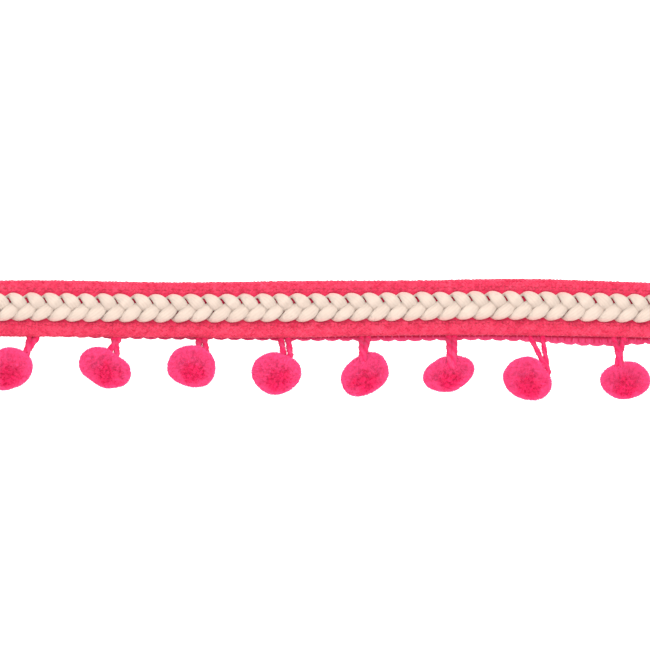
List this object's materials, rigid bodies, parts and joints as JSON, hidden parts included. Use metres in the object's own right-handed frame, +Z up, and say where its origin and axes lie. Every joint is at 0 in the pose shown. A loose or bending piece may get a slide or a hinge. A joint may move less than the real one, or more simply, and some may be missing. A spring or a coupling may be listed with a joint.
{
  "type": "pompom fringe trim",
  "caption": "Cut length of pompom fringe trim: a pink knitted tape with a cream plait sewn along it, and yarn pompoms hanging on thread loops from a scalloped heading.",
  "frame": {"origin": "on the heading's flat underside, at the middle of the tape's width and of the trim's length", "axes": "+X along the trim, +Y across it away from the pompoms, +Z up out of the face that carries the plait; the trim lies on Z = 0"},
  "size_m": [0.2, 0.0339, 0.0117],
  "materials": {
    "pink_tape": "knitted cotton, matte",
    "cream_cord": "soft cotton cord, matte",
    "magenta_heading": "crocheted yarn, matte",
    "magenta_yarn": "felted yarn pile, matte"
  },
  "bodies": {
    "root": {"band": "pink_tape", "braid_strand_1": "cream_cord", "braid_strand_2": "cream_cord", "braid_strand_3": "cream_cord", "heading": "magenta_heading", "pompom_1": "magenta_yarn", "pompom_2": "magenta_yarn", "pompom_3": "magenta_yarn", "pompom_4": "magenta_yarn", "pompom_5": "magenta_yarn", "pompom_6": "magenta_yarn", "pompom_7": "magenta_yarn", "pompom_8": "magenta_yarn"}
  },
  "joints": []
}
